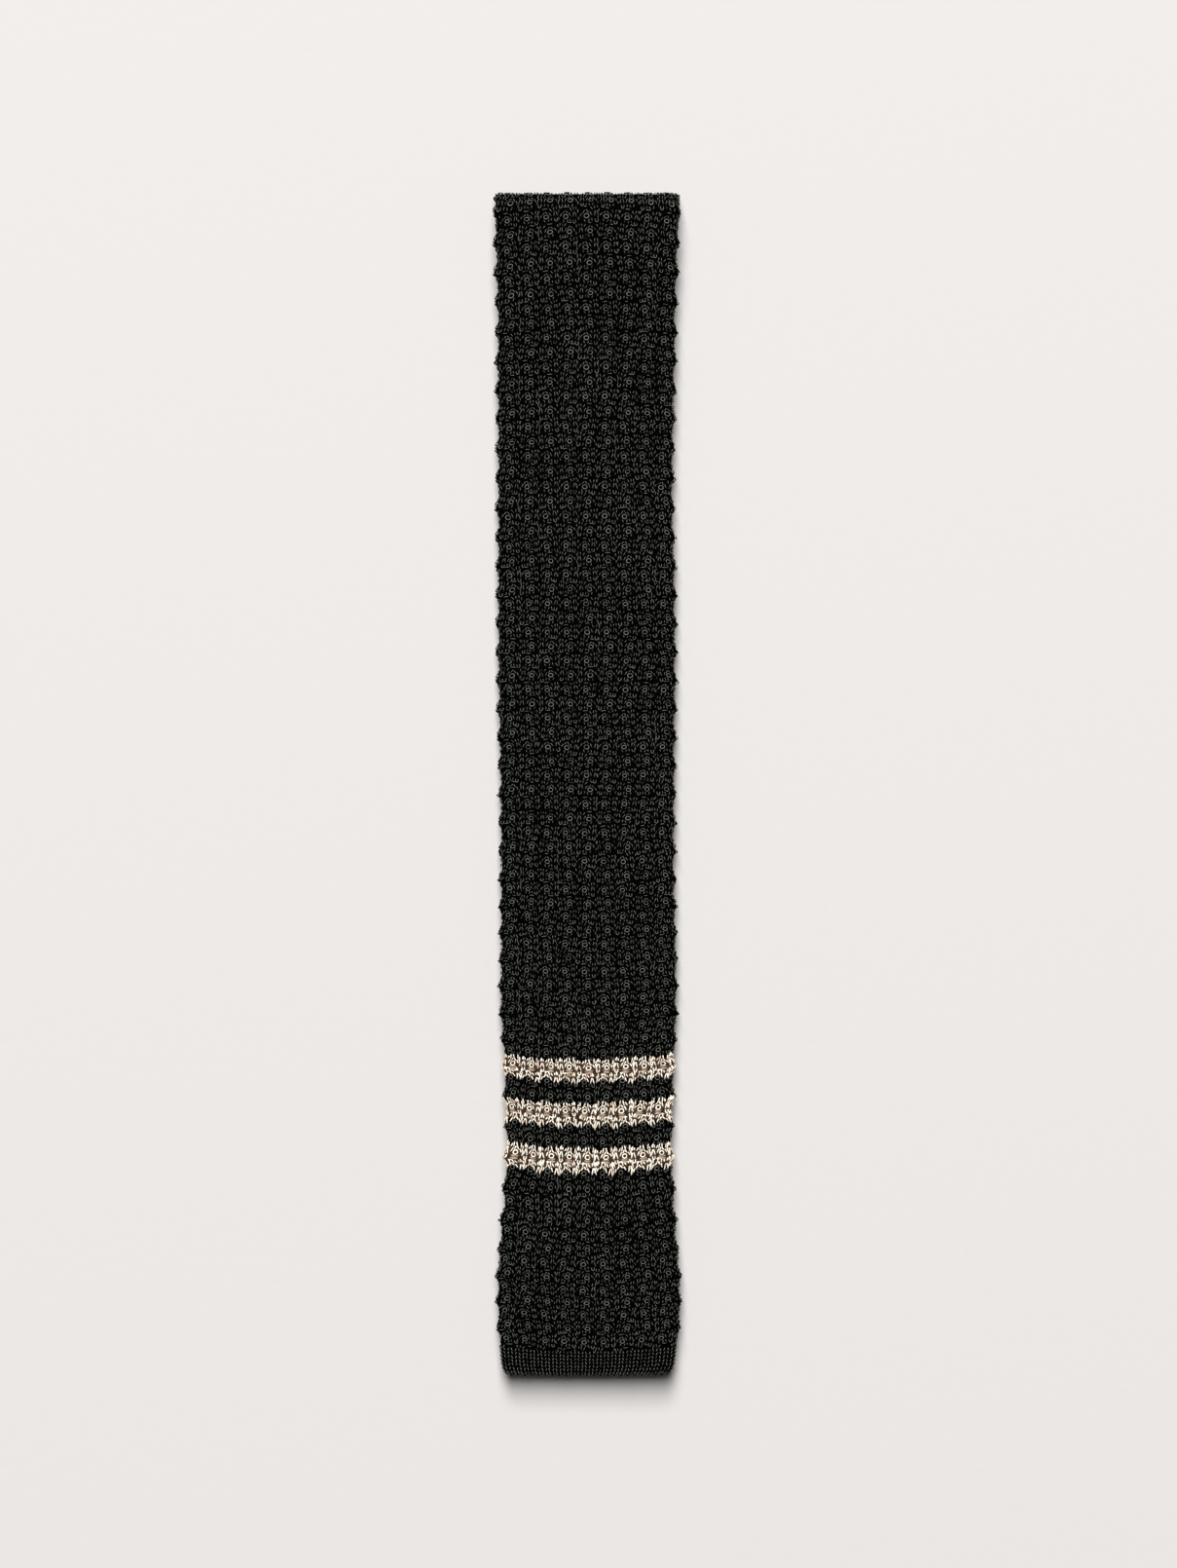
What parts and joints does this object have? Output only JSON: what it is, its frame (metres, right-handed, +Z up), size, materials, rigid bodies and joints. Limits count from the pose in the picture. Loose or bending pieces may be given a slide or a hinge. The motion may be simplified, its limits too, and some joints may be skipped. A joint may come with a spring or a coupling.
{
  "type": "knit tie",
  "caption": "Knitted tie in near-black silk with pale stripes above its hem, folded up and lying flat.",
  "frame": {"origin": "middle of the tie's box, on the surface it lies on", "axes": "+X across the tie, +Y along it from the hem to the top fold, +Z up from the surface"},
  "size_m": [0.0586, 0.3676, 0.0138],
  "materials": {
    "dark_silk": "knitted silk, soft sheen",
    "light_silk": "knitted silk, soft sheen"
  },
  "bodies": {
    "root": {"wide_end_hem": "dark_silk", "wide_blade_tip": "dark_silk", "stripe_lower": "light_silk", "blade_band_lower": "dark_silk", "stripe_middle": "light_silk", "blade_band_upper": "dark_silk", "stripe_upper": "light_silk", "wide_blade": "dark_silk", "neck_band": "dark_silk", "narrow_blade": "dark_silk", "narrow_end_hem": "dark_silk"}
  },
  "joints": []
}
